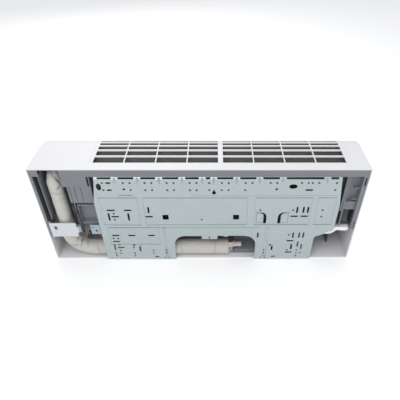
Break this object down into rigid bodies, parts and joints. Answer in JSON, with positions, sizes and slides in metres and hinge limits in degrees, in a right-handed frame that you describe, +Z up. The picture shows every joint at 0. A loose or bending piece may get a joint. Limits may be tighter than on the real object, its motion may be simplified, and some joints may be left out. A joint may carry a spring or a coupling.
{
  "type": "mini split indoor unit",
  "caption": "Wall-mounted air conditioner indoor unit on its pierced steel mounting plate, with hinged front panel, louver, vanes, fan, finned coil and wrapped pipe bundle.",
  "frame": {"origin": "on the wall plane, at the centre of the mounting plate's four wall screws, level with the middle of the casing", "axes": "+Z up, +Y into the wall, -Y into the room, +X to the right as seen from the room (the piped end)"},
  "size_m": [0.802, 0.193, 0.297],
  "materials": {
    "white_plastic": "satin white",
    "grey_plastic": "fine grain grey",
    "pale_plastic": "moulded off-white",
    "galvanised": "zinc-coated sheet",
    "steel": "turned",
    "zinc_screw": "zinc-plated",
    "fin_aluminium": "thin sheet",
    "copper": "drawn copper tube",
    "brass": "machined",
    "tape": "matt wrapping tape",
    "fan_plastic": "glass-filled, black",
    "rubber": "moulded",
    "motor_plastic": "moulded resin",
    "filter_mesh": "woven mesh in a frame",
    "lens": "smoked, translucent",
    "board": "solder-masked",
    "latch": "moulded",
    "foam": "expanded foam",
    "wire": "insulated wire",
    "bronze": "sintered",
    "terminal": "moulded",
    "plug": "soft cap",
    "vane_plastic": "moulded"
  },
  "bodies": {
    "mounting_plate": {"mounting_plate": "galvanised"},
    "unit": {"rear_chassis": "grey_plastic", "front_case": "white_plastic", "display_board": "board", "air_filter_left": "filter_mesh", "air_filter_right": "filter_mesh", "drain_pan": "pale_plastic", "louver_motor": "steel", "fan_bearing_mount": "rubber", "fan_bearing": "bronze", "fan_motor": "motor_plastic", "motor_clamp": "pale_plastic", "coil_fins_front": "fin_aluminium", "coil_fins_top": "fin_aluminium", "coil_fins_rear": "fin_aluminium", "coil_tubes_front": "copper", "coil_tubes_top": "copper", "coil_tubes_rear": "copper", "coil_plate_left": "galvanised", "coil_plate_right": "galvanised", "gas_pipe": "copper", "liquid_pipe": "copper", "pipe_bundle": "tape", "gas_flare_nut": "brass", "gas_pipe_plug": "plug", "liquid_flare_nut": "brass", "liquid_pipe_plug": "plug", "clamp_pin": "steel", "clamp_latch": "latch", "side_bracket": "galvanised", "drain_hose": "pale_plastic", "drain_foam": "foam", "sensor_wires": "wire", "pan_head_screws": "zinc_screw", "electrical_box": "pale_plastic", "electrical_cover": "pale_plastic", "control_board": "board", "terminal_block": "terminal", "vane_rail_left": "vane_plastic", "vane_rail_right": "vane_plastic"},
    "front_panel": {"front_panel": "white_plastic", "display_lens": "lens"},
    "louver": {"louver": "white_plastic"},
    "fan": {"cross_flow_fan": "fan_plastic", "fan_stub_shaft": "steel", "motor_shaft": "steel"},
    "emergency_button": {"emergency_button": "pale_plastic"},
    "pipe_clamp": {"pipe_clamp": "pale_plastic"},
    "vane_link_left": {"vane_link_left": "vane_plastic"},
    "vane_left_1": {"vane_left_1": "vane_plastic"},
    "vane_left_2": {"vane_left_2": "vane_plastic"},
    "vane_left_3": {"vane_left_3": "vane_plastic"},
    "vane_left_4": {"vane_left_4": "vane_plastic"},
    "vane_left_5": {"vane_left_5": "vane_plastic"},
    "vane_link_right": {"vane_link_right": "vane_plastic"},
    "vane_right_1": {"vane_right_1": "vane_plastic"},
    "vane_right_2": {"vane_right_2": "vane_plastic"},
    "vane_right_3": {"vane_right_3": "vane_plastic"},
    "vane_right_4": {"vane_right_4": "vane_plastic"},
    "vane_right_5": {"vane_right_5": "vane_plastic"}
  },
  "joints": [
    {"name": "unit_lift", "type": "slide", "parent": "mounting_plate", "child": "unit", "axis": [0, -0.7071, 0.7071], "range_m": [0, 0.05]},
    {"name": "panel_hinge", "type": "hinge", "parent": "unit", "child": "front_panel", "pos_m": [0, -0.15483, 0.13308], "axis": [-1, 0, 0], "range_deg": [0, 70]},
    {"name": "louver_hinge", "type": "hinge", "parent": "unit", "child": "louver", "pos_m": [0, -0.13342, -0.13008], "axis": [1, 0, 0], "range_deg": [0, 80]},
    {"name": "fan_spin", "type": "hinge", "parent": "unit", "child": "fan", "pos_m": [0, -0.1, -0.0325], "axis": [1, 0, 0], "continuous": true},
    {"name": "emergency_button_press", "type": "slide", "parent": "unit", "child": "emergency_button", "axis": [0, 1, 0], "range_m": [0, 0.0015], "stiffness_N_per_m": 300, "springref_m": -0.0005},
    {"name": "pipe_clamp_swing", "type": "hinge", "parent": "unit", "child": "pipe_clamp", "pos_m": [0.3885, -0.0035, -0.0395], "axis": [0, 0, -1], "range_deg": [0, 100]},
    {"name": "vane_left_1_swing", "type": "hinge", "parent": "unit", "child": "vane_left_1", "pos_m": [-0.3165, -0.10362, -0.11515], "axis": [0, -0.6691, 0.7431], "range_deg": [-30, 30]},
    {"name": "vane_left_2_swing", "type": "hinge", "parent": "unit", "child": "vane_left_2", "pos_m": [-0.2585, -0.10362, -0.11515], "axis": [0, -0.6691, 0.7431], "range_deg": [-30, 30]},
    {"name": "vane_left_3_swing", "type": "hinge", "parent": "unit", "child": "vane_left_3", "pos_m": [-0.2005, -0.10362, -0.11515], "axis": [0, -0.6691, 0.7431], "range_deg": [-30, 30]},
    {"name": "vane_left_4_swing", "type": "hinge", "parent": "unit", "child": "vane_left_4", "pos_m": [-0.1425, -0.10362, -0.11515], "axis": [0, -0.6691, 0.7431], "range_deg": [-30, 30]},
    {"name": "vane_left_5_swing", "type": "hinge", "parent": "unit", "child": "vane_left_5", "pos_m": [-0.0845, -0.10362, -0.11515], "axis": [0, -0.6691, 0.7431], "range_deg": [-30, 30]},
    {"name": "vane_link_left_pivot", "type": "hinge", "parent": "vane_left_1", "child": "vane_link_left", "pos_m": [-0.3165, -0.09471, -0.10713], "axis": [0, -0.6691, 0.7431], "range_deg": [-30, 30]},
    {"name": "vane_right_1_swing", "type": "hinge", "parent": "unit", "child": "vane_right_1", "pos_m": [-0.01, -0.10362, -0.11515], "axis": [0, -0.6691, 0.7431], "range_deg": [-30, 30]},
    {"name": "vane_right_2_swing", "type": "hinge", "parent": "unit", "child": "vane_right_2", "pos_m": [0.048, -0.10362, -0.11515], "axis": [0, -0.6691, 0.7431], "range_deg": [-30, 30]},
    {"name": "vane_right_3_swing", "type": "hinge", "parent": "unit", "child": "vane_right_3", "pos_m": [0.106, -0.10362, -0.11515], "axis": [0, -0.6691, 0.7431], "range_deg": [-30, 30]},
    {"name": "vane_right_4_swing", "type": "hinge", "parent": "unit", "child": "vane_right_4", "pos_m": [0.164, -0.10362, -0.11515], "axis": [0, -0.6691, 0.7431], "range_deg": [-30, 30]},
    {"name": "vane_right_5_swing", "type": "hinge", "parent": "unit", "child": "vane_right_5", "pos_m": [0.222, -0.10362, -0.11515], "axis": [0, -0.6691, 0.7431], "range_deg": [-30, 30]},
    {"name": "vane_link_right_pivot", "type": "hinge", "parent": "vane_right_1", "child": "vane_link_right", "pos_m": [-0.01, -0.09471, -0.10713], "axis": [0, -0.6691, 0.7431], "range_deg": [-30, 30]}
  ],
  "couplings": [
    {"joint": "vane_left_2_swing", "follows": "vane_left_1_swing", "ratio": 1},
    {"joint": "vane_left_3_swing", "follows": "vane_left_1_swing", "ratio": 1},
    {"joint": "vane_left_4_swing", "follows": "vane_left_1_swing", "ratio": 1},
    {"joint": "vane_left_5_swing", "follows": "vane_left_1_swing", "ratio": 1},
    {"joint": "vane_link_left_pivot", "follows": "vane_left_1_swing", "ratio": -1},
    {"joint": "vane_right_2_swing", "follows": "vane_right_1_swing", "ratio": 1},
    {"joint": "vane_right_3_swing", "follows": "vane_right_1_swing", "ratio": 1},
    {"joint": "vane_right_4_swing", "follows": "vane_right_1_swing", "ratio": 1},
    {"joint": "vane_right_5_swing", "follows": "vane_right_1_swing", "ratio": 1},
    {"joint": "vane_link_right_pivot", "follows": "vane_right_1_swing", "ratio": -1}
  ]
}
